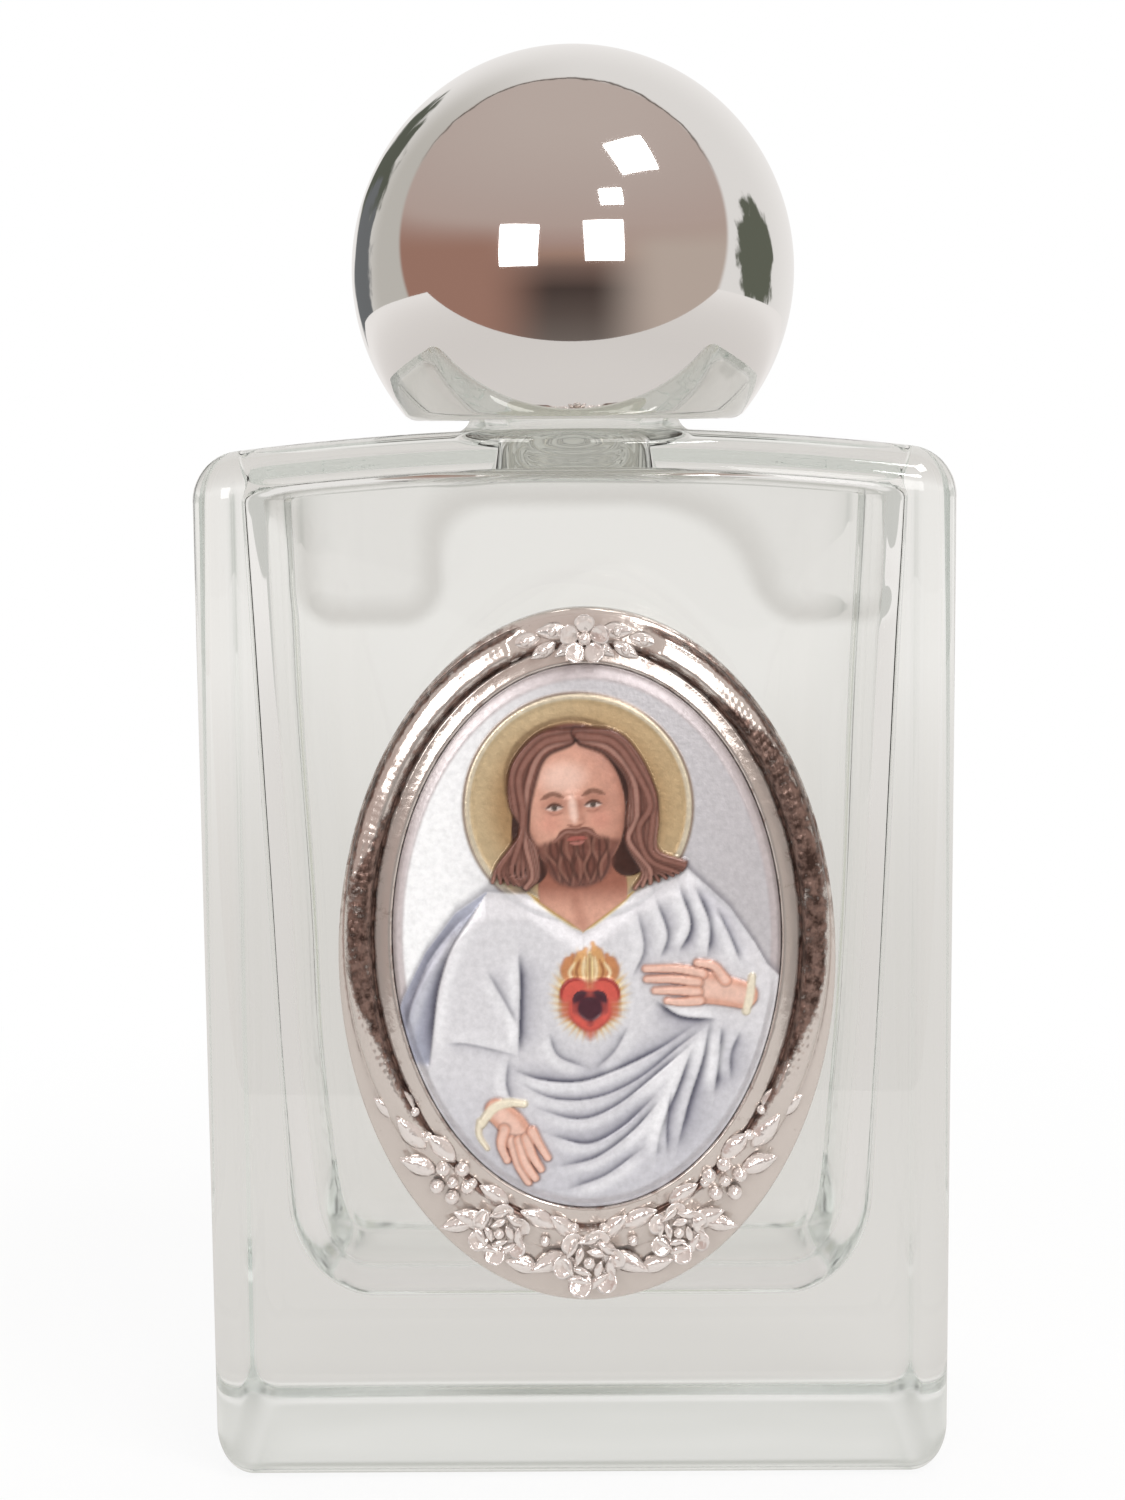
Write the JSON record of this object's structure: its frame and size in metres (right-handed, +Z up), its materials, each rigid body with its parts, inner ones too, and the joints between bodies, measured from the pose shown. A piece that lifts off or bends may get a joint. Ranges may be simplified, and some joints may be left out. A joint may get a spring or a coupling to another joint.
{
  "type": "holy water bottle",
  "caption": "Flat clear glass bottle for holy water, with a thick base, a screw-on chromed ball cap and an oval framed picture medallion on its front.",
  "frame": {"origin": "middle of the flat base of the glass", "axes": "+Z up along the neck, -Y out of the front that carries the medallion, +X to the right as seen from the front"},
  "size_m": [0.033, 0.0209, 0.0635],
  "materials": {
    "clear_glass": "clear soda-lime glass with a faint green edge, fire polished",
    "chromed_plastic": "moulded plastic with a mirror chrome plating",
    "insert_plastic": "moulded white plastic",
    "liner_foam": "soft expanded plastic sheet, die cut",
    "frame_metal": "cast metal, plated to a warm nickel-silver colour, hammered in its groove",
    "picture_print": "embossed silvered plate, printed in colour and gold",
    "backing_card": "thin moulded sheet",
    "adhesive": "soft white bonding pad"
  },
  "bodies": {
    "bottle": {"glass_bottle": "clear_glass", "medallion_frame": "frame_metal", "picture_plate": "picture_print", "backing_plate": "backing_card", "adhesive_pad": "adhesive"},
    "seal": {"cap_liner": "liner_foam"},
    "cap": {"cap_shell": "chromed_plastic", "cap_insert": "insert_plastic"}
  },
  "joints": [
    {"name": "cap_rise", "type": "slide", "parent": "bottle", "child": "seal", "axis": [0, 0, 1], "range_m": [0, 0.01001]},
    {"name": "cap_turn", "type": "hinge", "parent": "seal", "child": "cap", "pos_m": [0, 0, 0.0515], "axis": [0, 0, 1], "range_deg": [0, 1440]}
  ],
  "couplings": [
    {"joint": "cap_rise", "follows": "cap_turn", "m_per_rad": 0.00039789}
  ]
}
